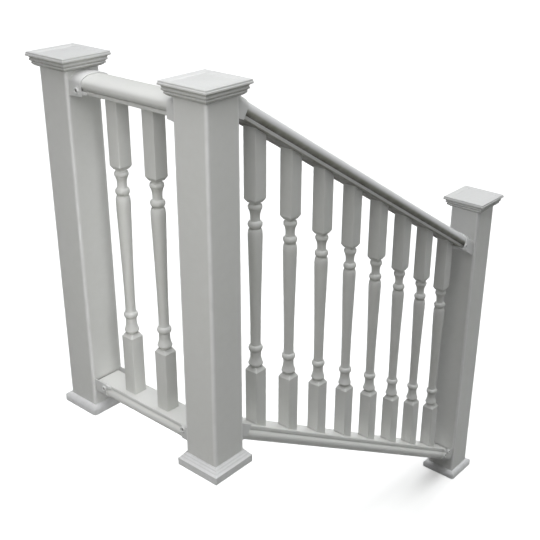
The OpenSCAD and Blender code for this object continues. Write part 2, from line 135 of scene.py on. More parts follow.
BROAD_SHARE, FINE_SHARE = 0.65, 0.35
LINE_SHARE, PORE_SHARE = 0.6, 0.4
# Shares of the paler outer edges, which are wear and painted highlight, and of the grime with painted shade in
# inner corners
EDGE_WEAR_AND_HIGHLIGHT_SHARE, CORNER_GRIME_AND_SHADE = 0.35, 0.30
DUST_ROUGHNESS, FILM_AND_SHADE_ROUGHNESS = 0.8, 0.6
UNEVEN_ROUGHNESS = (-0.05, 0.07)
# Strength of the olive film and its painted shade
FILM_AND_SHADE_STRENGTH = (0.75, 1.0)
POST_CORNER = (9.5 * MM, 4.5 * MM)  # distances from a post's corner at which the painted highlight starts and is full
DULLED, DULLED_ROUGHNESS = 0.62, 0.25  # share of its colour that metal keeps in dull patches, roughness added
VINYL_IOR = 1.48
# Wear and painted highlight on outer edges
EDGE_WEAR_AND_HIGHLIGHT = (0.86, 0.86, 0.86, 1)
# Painted highlight on the posts' corners
CORNER_HIGHLIGHT_COLOUR = (0.95, 0.95, 0.95, 1)
# Olive film with painted shade on surfaces that lean and face down
OLIVE_FILM_AND_SHADE = (0.30, 0.30, 0.22, 1)
DARK_FILM_AND_SHADE = (0.11, 0.10, 0.07, 1)
ANCHOR_METAL = (0.60, 0.61, 0.62)
# Screw metal, darkened as painted shade in the cup's hole
SCREW_METAL_AND_HOLE_SHADE = (0.30, 0.29, 0.28)

WHITE = (1, 1, 1, 1)
SIDE_TINT = (0.96, 1.0, 0.94, 1)
OVERHEAD_TINT = (0.98, 0.98, 1.0, 1)
FILL_TINT = (1.0, 1.0, 0.94)
SIDE_LIGHT = (0.966, -0.259, 0.0)  # towards the soft light beside the stair
OVERHEAD_FROM, OVERHEAD_TO = 0.86, 0.94  # heights on the sky between which the overhead light sets in
LAMP_AIM = (0.2, 0.15, 0.45)
CAMERA_PLACE = (-1.3520, -1.3412, 1.4149)
CAMERA_TURN = (40.656, -24.771, 0.196)  # yaw, pitch and roll in degrees
SENSOR_WIDTH = 36  # in mm


# ---- Sizes that come from the frame ----
def middle(node):
    low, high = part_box(node)
    return (low + high) / 2


def foot_of(post):
    """Middle of a post's foot."""
    low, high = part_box("post_" + post)
    return Vector(((low.x + high.x) / 2, (low.y + high.y) / 2, low.z))


def stair_slope():
    """Fall of the stair rails for each metre of run, from the first and last balusters."""
    first, last = middle(STAIR_BALUSTERS[0]), middle(STAIR_BALUSTERS[-1])
    return (first.z - last.z) / (last.x - first.x)


SLOPE = stair_slope()
ANGLE = math.atan(SLOPE)


def flat_height(rail, x):
    """Height of a rail's flat side, which is under a top rail and over a bottom rail, at x."""
    low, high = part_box(rail + "_rail")
    fall = SLOPE if rail.startswith("stair") else 0
    if rail.endswith("top"):
        return low.z + fall * (high.x - x)
    return high.z - fall * (x - low.x)


# ---- Settings shown in the sidebar ----
class VinylFinish(bpy.types.PropertyGroup):
    """Colour and surface of the extruded and moulded vinyl"""

    extruded: bpy.props.FloatVectorProperty(
        name="Extruded vinyl", description="Colour of the posts, balusters and three of the rails",
        subtype="COLOR", size=3, min=0, max=1, default=(0.80, 0.80, 0.79))
    moulded: bpy.props.FloatVectorProperty(
        name="Moulded vinyl", description="Colour of the caps, brackets, screw cups and lugs",
        subtype="COLOR", size=3, min=0, max=1, default=(0.81, 0.81, 0.82))
    # The stair's top rail takes this paler colour as painted light, brightening its crown
    pale: bpy.props.FloatVectorProperty(
        name="Pale vinyl", description="Colour of the base trims and of the stair's top rail",
        subtype="COLOR", size=3, min=0, max=1, default=(0.89, 0.89, 0.92))
    aged: bpy.props.FloatVectorProperty(
        name="Aged tint", description="Colour that the vinyl drifts towards in broad patches",
        subtype="COLOR", size=3, min=0, max=1, default=(0.75, 0.77, 0.71))
    soil: bpy.props.FloatVectorProperty(
        name="Soil", description="Colour of the dust and splashed soil",
        subtype="COLOR", size=3, min=0, max=1, default=(0.36, 0.34, 0.29))
    mottle: bpy.props.FloatProperty(
        name="Mottle", description="Strength of the broad patches", min=0, max=1, default=0.35)
    splash: bpy.props.FloatProperty(
        name="Splash", description="Strength of the soil at the foot of each post", min=0, max=1, default=0.16)
    roughness: bpy.props.FloatProperty(
        name="Roughness", description="Mean roughness of the vinyl", min=0, max=1, default=0.42)
    grain: bpy.props.FloatProperty(
        name="Grain", description="Depth of the drawn lines and pores", unit="LENGTH", min=0, max=0.001,
        default=0.00012)


class BalusterShape(bpy.types.PropertyGroup):
    """Turned and square parts of a baluster"""

    steps: bpy.props.IntProperty(
        name="Steps", description="Steps round the turned part", min=16, max=128, default=56)
    corner: bpy.props.FloatProperty(
        name="Corner", description="Radius of the square blocks' corners", unit="LENGTH", min=0, max=0.004,
        default=0.0012)
    turned: bpy.props.FloatProperty(
        name="Turned length", description="Length of the turned middle", unit="LENGTH", min=0.3, max=0.6,
        default=0.464)
    slope: bpy.props.FloatProperty(
        name="Shoulder", description="Height of the four slopes at the end of a square block", unit="LENGTH",
        min=0.004, max=0.014, default=0.0095)
    stem: bpy.props.FloatProperty(
        name="Stem radius", description="Radius of the narrow stem between a shoulder and the next ring",
        unit="LENGTH", min=0.01, max=0.016, default=0.0131)
    ring: bpy.props.FloatProperty(
        name="Ring radius", description="Radius of the rings", unit="LENGTH", min=0.01, max=0.03, default=0.01765)
    neck: bpy.props.FloatProperty(
        name="Neck radius", description="Radius of the neck", unit="LENGTH", min=0.005, max=0.03,
        default=0.01205)
    groove: bpy.props.FloatProperty(
        name="Groove radius", description="Radius of the grooves beside the rings", unit="LENGTH", min=0.005,
        max=0.03, default=0.01405)
    waist: bpy.props.FloatProperty(
        name="Waist radius", description="Radius of the vase's slender end", unit="LENGTH", min=0.005, max=0.03,
        default=0.01325)


class BracketFittings(bpy.types.PropertyGroup):
    """Screw cups, screws and lugs on the rail brackets"""

    cup: bpy.props.FloatProperty(
        name="Cup radius", description="Radius of a screw cup", unit="LENGTH", min=0.006, max=0.012,
        default=0.0078)
    stand: bpy.props.FloatProperty(
        name="Cup stand", description="Distance that a screw cup stands out", unit="LENGTH", min=0.002,
        max=0.005, default=0.0042)
    bore: bpy.props.FloatProperty(
        name="Bore radius", description="Radius of the hole in a screw cup", unit="LENGTH", min=0.002,
        max=0.005, default=0.0044)
    lug: bpy.props.FloatProperty(
        name="Lug length", description="Length of the lug that grips the rail's lip past a bracket's end",
        unit="LENGTH", min=0.004, max=0.020, default=0.013)
    edge: bpy.props.FloatProperty(
        name="Edge", description="Radius of the moulded edges", unit="LENGTH", min=0, max=0.002,
        default=0.0005)


class StageSetup(bpy.types.PropertyGroup):
    """Floor, lamps and camera"""

    floor: bpy.props.FloatVectorProperty(
        name="Floor", description="Colour of the floor as the camera sees it", subtype="COLOR", size=3, min=0,
        max=1, default=(1.0, 1.0, 1.0))
    bounce: bpy.props.FloatProperty(
        name="Bounce", description="Grey of the floor as the railing sees it", min=0, max=1, default=0.10)
    glow: bpy.props.FloatProperty(
        name="Glow", description="Light that the camera sees in the floor besides its shading", min=0, max=1,
        default=0.36)
    overhead: bpy.props.FloatProperty(
        name="Overhead", description="Strength of the soft light straight above", min=0, max=8, default=4.0)
    side: bpy.props.FloatProperty(
        name="Side", description="Strength of the soft light along the stair's side", min=0, max=4, default=0.55)
    key: bpy.props.FloatProperty(
        name="Key", description="Power of the large high lamp, in watts", min=0, max=500, default=12.0)
    fill: bpy.props.FloatProperty(
        name="Fill", description="Power of the large low lamp, in watts", min=0, max=500, default=4.6)
    porch: bpy.props.FloatProperty(
        name="Porch", description="Power of the narrow lamp on the upper post's inner face, in watts", min=0,
        max=50, default=0.062)
    focal: bpy.props.FloatProperty(
        name="Focal length", description="Focal length in millimetres", min=20, max=200, default=60.879)


SETTINGS = {
    "railing_vinyl": VinylFinish,
    "railing_baluster": BalusterShape,
    "railing_bracket": BracketFittings,
    "railing_stage": StageSetup,
}


# ---- Modelling helpers ----
def clear_selection():
    """Leaves edit mode and deselects every object."""
    if bpy.context.object and bpy.context.object.mode != "OBJECT":
        bpy.ops.object.mode_set(mode="OBJECT")
    bpy.ops.object.select_all(action="DESELECT")


def take(piece):
    """Makes a piece the only selected object and the active one."""
    clear_selection()
    piece.select_set(True)
    bpy.context.view_layer.objects.active = piece


def apply_modifier(piece, kind, **values):
    take(piece)
    modifier = piece.modifiers.new(kind.title(), kind)
    for key, value in values.items():
        setattr(modifier, key, value)
    bpy.ops.object.modifier_apply(modifier=modifier.name)


def settle(piece, name, node=None):
    """Leaves a finished piece at the origin with its place in its mesh, riding on the railing."""
    take(piece)
    bpy.ops.object.transform_apply(location=True, rotation=True, scale=True)
    piece.name = piece.data.name = name
    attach(piece, "root")
    if node:
        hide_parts(node)
    return piece


def pick(piece, kind, test):
    """Selects in edit mode the faces ("FACE") or edges ("EDGE") that pass a test."""
    mesh = piece.data
    bpy.ops.object.mode_set(mode="EDIT")
    bpy.ops.mesh.select_mode(type=kind)
    bpy.ops.mesh.select_all(action="DESELECT")
    bpy.ops.object.mode_set(mode="OBJECT")
    if kind == "FACE":
        for face in mesh.polygons:
            face.select = test(face)
    else:
        for edge in mesh.edges:
            edge.select = test(*(mesh.vertices[i].co for i in edge.vertices))
    bpy.ops.object.mode_set(mode="EDIT")


def copy_of(piece, name):
    """A copy of a finished shape with its own mesh."""
    twin = piece.copy()
    twin.data = piece.data.copy()
    twin.name = name
    bpy.context.scene.collection.objects.link(twin)
    return twin


def smooth_by_angle(piece, degrees):
    take(piece)
    bpy.ops.object.shade_smooth_by_angle(angle=math.radians(degrees))


def weigh_normals(piece):
    apply_modifier(piece, "WEIGHTED_NORMAL", keep_sharp=True, weight=60)


def joined_copy(node, name):
    """A copy of a CAD node with its triangles joined into whole faces."""
    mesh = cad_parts[node].data.copy()
    piece = bpy.data.objects.new(name, mesh)
    bpy.context.scene.collection.objects.link(piece)
    take(piece)
    bpy.ops.mesh.customdata_custom_splitnormals_clear()
    bpy.ops.object.mode_set(mode="EDIT")
    bpy.ops.mesh.select_all(action="SELECT")
    bpy.ops.mesh.remove_doubles(threshold=SAME_PLACE)
    bpy.ops.mesh.dissolve_limited(angle_limit=math.radians(FLAT_WITHIN))
    bpy.ops.object.mode_set(mode="OBJECT")
    return piece


def soften(piece, edge, sharp=32, smooth=38):
    """Rounds edges that turn more than sharp degrees, and shades smooth what turns less than smooth degrees."""
    if edge > 0:
        apply_modifier(piece, "BEVEL", width=edge, segments=2, limit_method="ANGLE",
                       angle_limit=math.radians(sharp), use_clamp_overlap=False, miter_outer="MITER_ARC")
    smooth_by_angle(piece, smooth)
    weigh_normals(piece)


def moulded_copy(node, name, edge, sharp=32, smooth=38):
    piece = joined_copy(node, name)
    soften(piece, edge, sharp, smooth)
    return piece


def keep_creases(piece, degrees):
    """Keeps the slight creases between the wide faces that look up, such as a cap's panel and roof."""
    take(piece)
    bpy.ops.object.mode_set(mode="EDIT")
    bpy.ops.mesh.select_mode(type="EDGE")
    bpy.ops.mesh.select_all(action="DESELECT")
    bpy.ops.mesh.edges_select_sharp(sharpness=math.radians(degrees))
    bpy.ops.object.mode_set(mode="OBJECT")
    mesh = piece.data
    low = {i for face in mesh.polygons if face.normal.z < LOOKING for i in face.vertices}
    for edge in mesh.edges:
        edge.select = edge.select and not (edge.vertices[0] in low and edge.vertices[1] in low)
    bpy.ops.object.mode_set(mode="EDIT")
    bpy.ops.mesh.mark_sharp()
    bpy.ops.object.mode_set(mode="OBJECT")


def draw_outline(points):
    """An open outline of [radius, height] points in the XZ plane, drawn by extruding one vertex."""
    clear_selection()
    bpy.ops.mesh.primitive_plane_add(size=0.001, location=(0, 0, 0))
    piece = bpy.context.object
    bpy.ops.object.mode_set(mode="EDIT")
    bpy.ops.mesh.select_mode(type="VERT")
    bpy.ops.mesh.select_all(action="SELECT")
    bpy.ops.mesh.merge(type="CENTER")
    bpy.ops.transform.translate(value=(points[0][0], 0, points[0][1]))
    for (x0, z0), (x1, z1) in zip(points, points[1:]):
        bpy.ops.mesh.extrude_region_move(TRANSFORM_OT_translate={"value": (x1 - x0, 0, z1 - z0)})
    return piece


def spin_outline(points, steps):
    """A closed solid turned about the Z axis from an outline that starts and ends on the axis."""
    piece = draw_outline(points)
    bpy.ops.mesh.select_all(action="SELECT")
    bpy.ops.mesh.spin(steps=steps, angle=math.tau, center=(0, 0, 0), axis=(0, 0, 1))
    bpy.ops.mesh.select_all(action="SELECT")
    bpy.ops.mesh.remove_doubles(threshold=SAME_SPUN_PLACE)
    bpy.ops.mesh.normals_make_consistent(inside=False)
    bpy.ops.object.mode_set(mode="OBJECT")
    return piece


# ---- Shader groups ----
def new_group(name, inputs, outputs):
    """An empty group, the sockets that it is given and the sockets that it puts out."""
    group = bpy.data.node_groups.new(name, "ShaderNodeTree")
    for label, kind, value in inputs:
        socket = group.interface.new_socket(label, in_out="INPUT", socket_type=kind)
        socket.default_value = value
    for label, kind in outputs:
        group.interface.new_socket(label, in_out="OUTPUT", socket_type=kind)
    return group, group.nodes.new("NodeGroupInput").outputs, group.nodes.new("NodeGroupOutput").inputs


def feed(tree, socket, value):
    """Links an output to a socket, or sets the socket to a plain value."""
    if isinstance(value, bpy.types.NodeSocket):
        tree.links.new(value, socket)
    else:
        socket.default_value = value


def add(tree, kind, values=None, **settings):
    """A new node with its settings made and its inputs fed."""
    node = tree.nodes.new(kind)
    for key, value in settings.items():
        setattr(node, key, value)
    for key, value in (values or {}).items():
        feed(tree, node.inputs[key], value)
    return node


def noise(tree, vector, scale, detail, roughness):
    values = {"Vector": vector, "Scale": scale, "Detail": detail, "Roughness": roughness}
    return add(tree, "ShaderNodeTexNoise", values).outputs["Fac"]


def patches(tree, vector, scale, detail, roughness, low, high, least=0.0):
    """Noise spread out so that its low value becomes the least and its high value 1."""
    return span(tree, noise(tree, vector, scale, detail, roughness), low, high, least, 1.0)


def blend_colour(tree, factor, first, second):
    return add(tree, "ShaderNodeMix", {0: factor, 6: first, 7: second}, data_type="RGBA").outputs[2]


def span(tree, value, from_low, from_high, to_low=0.0, to_high=1.0):
    """Carries a value from one range to another, held inside the second."""
    return add(tree, "ShaderNodeMapRange", {0: value, 1: from_low, 2: from_high, 3: to_low, 4: to_high}).outputs[0]


def math_of(tree, operation, first, second):
    return add(tree, "ShaderNodeMath", {0: first, 1: second}, operation=operation).outputs[0]


def plus(tree, first, second):
    return math_of(tree, "ADD", first, second)


def times(tree, first, *others):
    for other in others:
        first = math_of(tree, "MULTIPLY", first, other)
    return first


def parts_of(tree, vector):
    """The X, Y and Z outputs of a vector."""
    return add(tree, "ShaderNodeSeparateXYZ", {0: vector}).outputs


def vinyl_skin_group():
    """Mottled colour, drawn grain along the piece's length, dust, an olive film with painted shade on surfaces
    that face down, paler outer edges that are wear and painted highlight, and grime with painted shade in inner
    corners.
    """
    tree, given, made = new_group("Vinyl skin", [
        ("Vector", "NodeSocketVector", (0, 0, 0)),
        ("Clean", "NodeSocketColor", (0.8, 0.8, 0.8, 1)),
        ("Aged", "NodeSocketColor", (0.75, 0.75, 0.72, 1)),
        ("Soil", "NodeSocketColor", (0.3, 0.3, 0.25, 1)),
        ("Mottle", "NodeSocketFloat", 0.3),
        ("Dust", "NodeSocketFloat", 0.1),
        ("Film and shade", "NodeSocketFloat", 0.1),
        ("Roughness", "NodeSocketFloat", 0.4),
    ], [("Color", "NodeSocketColor"), ("Roughness", "NodeSocketFloat"), ("Height", "NodeSocketFloat")])
    vector = given["Vector"]
    broad = patches(tree, vector, *BROAD_PATCHES)
    fine = patches(tree, vector, *FINE_PATCHES)
    mottle = plus(tree, times(tree, broad, BROAD_SHARE), times(tree, fine, FINE_SHARE))
    colour = blend_colour(tree, times(tree, mottle, given["Mottle"]), given["Clean"], given["Aged"])
    geometry = add(tree, "ShaderNodeNewGeometry").outputs
    # Dust settles where the surface faces up, broken by small patches
    facing = parts_of(tree, geometry["Normal"])["Z"]
    dust = times(tree, span(tree, facing, *FACING_UP), patches(tree, vector, *DUST_SPECKS), given["Dust"])
    colour = blend_colour(tree, dust, colour, given["Soil"])
    # Surfaces that lean down carry an olive film and painted shade, the darker the more they face down
    thickness = span(tree, fine, 0.0, 1.0, *FILM_AND_SHADE_STRENGTH)
    film_and_shade_mask = times(tree, span(tree, facing, *LEANING_DOWN), thickness, given["Film and shade"])
    olive_and_shade = blend_colour(tree, span(tree, facing, *FACING_DOWN), OLIVE_FILM_AND_SHADE, DARK_FILM_AND_SHADE)
    colour = blend_colour(tree, film_and_shade_mask, colour, olive_and_shade)
    # Outer edges are painted a little paler, as wear and as a painted highlight, and inner corners are darkened
    # with grime and painted shade
    edge_wear_and_highlight = times(tree, span(tree, geometry["Pointiness"], *OUTER_EDGE), fine, EDGE_WEAR_AND_HIGHLIGHT_SHARE)
    colour = blend_colour(tree, edge_wear_and_highlight, colour, EDGE_WEAR_AND_HIGHLIGHT)
    # Grime with painted shade in inner corners
    grime_and_shade = times(tree, span(tree, geometry["Pointiness"], *INNER_CORNER), fine, CORNER_GRIME_AND_SHADE)
    colour = blend_colour(tree, grime_and_shade, colour, given["Soil"])
    feed(tree, made["Color"], colour)
    # Drawn lines come from stretched noise, and pores lie between them
    stretched = add(tree, "ShaderNodeMapping", {"Vector": vector, "Scale": LINE_STRETCH}).outputs[0]
    lines = noise(tree, stretched, *DRAWN_LINES)
    pores = noise(tree, vector, *PORES)
    feed(tree, made["Height"], plus(tree, times(tree, lines, LINE_SHARE), times(tree, pores, PORE_SHARE)))
    # Dust and the olive film with its painted shade are matt
    uneven = plus(tree, given["Roughness"], span(tree, fine, 0.0, 1.0, *UNEVEN_ROUGHNESS))
    uneven = plus(tree, uneven, times(tree, dust, DUST_ROUGHNESS))
    feed(tree, made["Roughness"], plus(tree, uneven, times(tree, film_and_shade_mask, FILM_AND_SHADE_ROUGHNESS)))
    return tree


def splash_group():
    """Soil thrown up on a post's foot, fading with height above the ground."""
    tree, given, made = new_group("Foot splash", [
        ("Color", "NodeSocketColor", (0.8, 0.8, 0.8, 1)),
        ("Vector", "NodeSocketVector", (0, 0, 0)),
        ("Soil", "NodeSocketColor", (0.3, 0.3, 0.25, 1)),
        ("Ground", "NodeSocketFloat", 0.0),
        ("Reach", "NodeSocketFloat", 0.2),
        ("Amount", "NodeSocketFloat", 0.2),
    ], [("Color", "NodeSocketColor")])
    rise = math_of(tree, "SUBTRACT", parts_of(tree, given["Vector"])["Z"], given["Ground"])
    fade = span(tree, math_of(tree, "DIVIDE", rise, given["Reach"]), 1.0, 0.0)
    spots = patches(tree, given["Vector"], *SPLASH_SPOTS)
    mask = times(tree, fade, fade, spots, given["Amount"])
    feed(tree, made["Color"], blend_colour(tree, mask, given["Color"], given["Soil"]))
    return tree


def corner_highlight_group():
    """A painted highlight: paler vinyl along a square post's rounded upright corners."""
    tree, given, made = new_group("Rubbed corners", [
        ("Color", "NodeSocketColor", (0.8, 0.8, 0.8, 1)),
        ("Vector", "NodeSocketVector", (0, 0, 0)),
        ("Centre", "NodeSocketVector", (0, 0, 0)),
        ("Half", "NodeSocketFloat", 0.05),
        ("Amount", "NodeSocketFloat", 0.5),
    ], [("Color", "NodeSocketColor")])
    offset = add(tree, "ShaderNodeVectorMath", {0: given["Vector"], 1: given["Centre"]}, operation="SUBTRACT")
    distance = add(tree, "ShaderNodeVectorMath", {0: offset.outputs[0]}, operation="ABSOLUTE")
    away = parts_of(tree, distance.outputs[0])
    # A point near a corner is near the faces in both X and Y
    inset = math_of(tree, "SUBTRACT", given["Half"], math_of(tree, "MINIMUM", away["X"], away["Y"]))
    highlight_patches = patches(tree, given["Vector"], *CORNER_HIGHLIGHT_PATCHES, least=0.6)
    mask = times(tree, span(tree, inset, *POST_CORNER), given["Amount"], highlight_patches)
    feed(tree, made["Color"], blend_colour(tree, mask, given["Color"], CORNER_HIGHLIGHT_COLOUR))
    return tree


GROUP_MAKERS = {
    "Vinyl skin": vinyl_skin_group,
    "Foot splash": splash_group,
    "Rubbed corners": corner_highlight_group,
}


# ---- Materials ----
def placed_group(tree, name, values):
    """A shader group, made the first time it is asked for, with its inputs fed."""
    group = bpy.data.node_groups.get(name) or GROUP_MAKERS[name]()
    return add(tree, "ShaderNodeGroup", values, node_tree=group).outputs


def new_material(name):
    """A material, its node tree and the inputs of its shader."""
    material = bpy.data.materials.new(name)
    material.use_nodes = True
    return material, material.node_tree, material.node_tree.nodes["Principled BSDF"].inputs


def vinyl_material(name, colour, turn=(0, 0, 0), dust=0.10, film_and_shade=0.10, roughness=0.0, grain=1.0, ground=None,
                   post=None):
    """Satin vinyl. turn lays the grain along the piece; ground is the height of a foot that soil splashes on;
    post is the sleeve whose corners get a painted highlight."""
    finish = bpy.context.scene.railing_vinyl
    material, tree, shader = new_material(name)
    feed(tree, shader["IOR"], VINYL_IOR)
    soil = (*finish.soil, 1)
    place = add(tree, "ShaderNodeTexCoord").outputs["Object"]
    along = add(tree, "ShaderNodeMapping", {"Vector": place, "Rotation": turn}).outputs[0]
    skin = placed_group(tree, "Vinyl skin", {
        "Vector": along, "Clean": (*colour, 1), "Aged": (*finish.aged, 1), "Soil": soil, "Mottle": finish.mottle,
        "Dust": dust, "Film and shade": film_and_shade, "Roughness": finish.roughness + roughness})
    surface = skin["Color"]
    if ground is not None:
        surface = placed_group(tree, "Foot splash", {
            "Color": surface, "Vector": place, "Soil": soil, "Ground": ground, "Reach": 0.16,
            "Amount": finish.splash})["Color"]
    # A painted highlight along the post's corners
    if post:
        low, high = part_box(post)
        surface = placed_group(tree, "Rubbed corners", {
            "Color": surface, "Vector": place, "Centre": (low + high) / 2, "Half": (high.x - low.x) / 2,
            "Amount": 0.9})["Color"]
    feed(tree, shader["Base Color"], surface)
    feed(tree, shader["Roughness"], skin["Roughness"])
    bump = {"Distance": finish.grain * grain, "Strength": 0.6, "Height": skin["Height"]}
    feed(tree, shader["Normal"], add(tree, "ShaderNodeBump", bump).outputs[0])
    return material


def metal_material(name, colour, roughness):
    """Bare metal with a fine cast grain and dull patches."""
    material, tree, shader = new_material(name)
    feed(tree, shader["Metallic"], 1.0)
    place = add(tree, "ShaderNodeTexCoord").outputs["Object"]
    dulled = patches(tree, place, *METAL_PATCHES)
    dull = tuple(DULLED * c for c in colour)
    feed(tree, shader["Base Color"], blend_colour(tree, dulled, (*colour, 1), (*dull, 1)))
    feed(tree, shader["Roughness"], span(tree, dulled, 0.0, 1.0, roughness, roughness + DULLED_ROUGHNESS))
    bump = {"Distance": 0.2 * MM, "Strength": 0.5, "Height": noise(tree, place, *CAST_GRAIN)}
    feed(tree, shader["Normal"], add(tree, "ShaderNodeBump", bump).outputs[0])
    return material


def dress(piece, material):
    """One material over the whole of a piece."""
    if not piece.data.materials:
        piece.data.materials.append(material)
    for slot in piece.material_slots:
        slot.material = material


# ---- Operators ----
class RAILING_OT_posts(bpy.types.Operator):
    """Gives the three post sleeves their drawn vinyl, the soil at their feet and a painted highlight along their
    corners
    """

    bl_idname = "railing.posts"
    bl_label = "Finish the posts"

    def execute(self, context):
        finish = context.scene.railing_vinyl
        for post in POSTS:
            node = "post_" + post
            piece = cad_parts[node]
            dress(piece, vinyl_material("Post vinyl " + post, finish.extruded, dust=0.0, film_and_shade=0.04,
                                        ground=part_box(node)[0].z, post=node))
        return {"FINISHED"}


class RAILING_OT_caps(bpy.types.Operator):
    """Moulds the three caps with rounded edges"""

    bl_idname = "railing.caps"
    bl_label = "Mould the caps"

    def execute(self, context):
        finish = context.scene.railing_vinyl
        moulded = vinyl_material("Cap vinyl", finish.moulded, dust=0.10, film_and_shade=0.5, roughness=-0.06, grain=0.6)
        for post in POSTS:
            piece = moulded_copy("cap_" + post, "moulded_cap_" + post, CAP_EDGE)
            keep_creases(piece, PANEL_CREASE)
            weigh_normals(piece)
            dress(piece, moulded)
            settle(piece, "moulded_cap_" + post, "cap_" + post)
        return {"FINISHED"}


class RAILING_OT_trims(bpy.types.Operator):
    """Moulds the three base trims with rounded edges"""

    bl_idname = "railing.trims"
    bl_label = "Mould the base trims"

    def execute(self, context):
        finish = context.scene.railing_vinyl
        for post in POSTS:
            node = "base_trim_" + post
            # The corner post's trim is stepped, and its steps stay crisp
            piece = moulded_copy(node, "moulded_trim_" + post, TRIM_EDGE, smooth=10 if post == "corner" else 38)
            dress(piece, vinyl_material("Trim vinyl " + post, finish.pale, dust=0.08, roughness=-0.04,
                                        grain=0.6, ground=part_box(node)[0].z))
            settle(piece, "moulded_trim_" + post, node)
        return {"FINISHED"}


class RAILING_OT_anchors(bpy.types.Operator):
    """Gives the hidden anchors their cast metal"""

    bl_idname = "railing.anchors"
    bl_label = "Finish the anchors"

    def execute(self, context):
        cast = metal_material("Anchor metal", ANCHOR_METAL, 0.42)
        for post in POSTS:
            dress(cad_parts["anchor_" + post], cast)
        return {"FINISHED"}


class RAILING_OT_rails(bpy.types.Operator):
    """Draws the four rails smooth along their length with softened lips"""

    bl_idname = "railing.rails"
    bl_label = "Draw the rails"

    def execute(self, context):
        finish = context.scene.railing_vinyl
        turns = {"level": (math.pi / 2, 0, 0), "stair": (0, math.pi / 2 - ANGLE, 0)}
        for rail in RAILS:
            node = rail + "_rail"
            piece = joined_copy(node, "drawn_" + node)
            if rail == "stair_bottom":
                self.ease_sockets(piece)
            soften(piece, RAIL_EDGE, sharp=40)
            colour, dust, film_and_shade = finish.extruded, 0.05, 0.15
            # The stair's top rail takes the pale vinyl as painted light on its crown, and strong olive film with
            # painted shade under it
            if rail == "stair_top":
                colour, dust, film_and_shade = finish.pale, 0.0, 0.9
            dress(piece, vinyl_material("Rail vinyl " + rail, colour, turn=turns[rail[:5]], dust=dust,
                                        film_and_shade=film_and_shade, roughness=-0.05))
            settle(piece, "drawn_" + node, node)
        return {"FINISHED"}

    def ease_sockets(self, piece):
        """Cuts the square holes a little long on their upper side, where the balusters lean away."""
        end, side, square_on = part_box("stair_bottom_rail")[1].x - 10 * MM, 25 * MM, 0.95
        pick(piece, "FACE", lambda face: face.normal.x > square_on and face.center.x < end
             and abs(face.center.y) < side)
        bpy.ops.transform.translate(value=(-SOCKET_EASE * math.cos(ANGLE), 0, SOCKET_EASE * math.sin(ANGLE)))
        bpy.ops.object.mode_set(mode="OBJECT")


def turned_points(radii, table, start, way):
    """Outline points of a table, counted up (way 1) or down (way -1) from a height."""
    return [(radii[part] + extra * MM, start + way * height * MM) for part, extra, height in table]


def bead_points(z, radius, half, inner):
    """A bead round height z, half its height to each side, that swells from the inner radius."""
    return [(inner + (radius - inner) * math.cos(t), z + half * math.sin(t))
            for t in (math.pi * i / 12 for i in range(-5, 6))]


def turned_outline(shape):
    """Outline of the turned middle in metres, from the lower block (height 0) to the upper one."""
    ring, neck, groove, waist, top = shape.ring, shape.neck, shape.groove, shape.waist, shape.turned
    bead, vase = ring + BEAD_OUT, ring + VASE_OUT
    radii = {"axis": 0, "stem": shape.stem, "bell": ring + BELL_OUT, "groove": groove, "waist": waist,
             "neck": neck}
    points = turned_points(radii, ABOVE_LOWER_BLOCK, 0, 1)
    points += bead_points(LOWER_BEAD, bead, BEAD_HALF, groove)
    points += turned_points(radii, WAIST, 0, 1)
    # The vase swells from its slender foot to its shoulder
    for i in range(VASE_STEPS + 1):
        u = i / VASE_STEPS
        swell = u * u * (2 - u)
        points.append((waist + (vase - waist) * swell, VASE_FOOT + (top - VASE_SHOULDER - VASE_FOOT) * u))
    # Its top is a low dome
    rim = groove + 1 * MM
    for i in range(1, DOME_STEPS + 1):
        t = math.pi / 2 * (1 - i / DOME_STEPS)
        points.append((rim + (vase - rim) * math.sin(t), top - VASE_SHOULDER + DOME_HEIGHT * math.cos(t)))
    points += turned_points(radii, OVER_VASE, top, -1)
    points += bead_points(top - UPPER_BEAD, bead, BEAD_HALF, neck + 1 * MM)
    points += turned_points(radii, UNDER_TOP_RING, top, -1)
    points += bead_points(top - TOP_RING, ring, RING_HALF, groove + 0.5 * MM)
    points += turned_points(radii, UNDER_UPPER_BLOCK, top, -1)
    return points


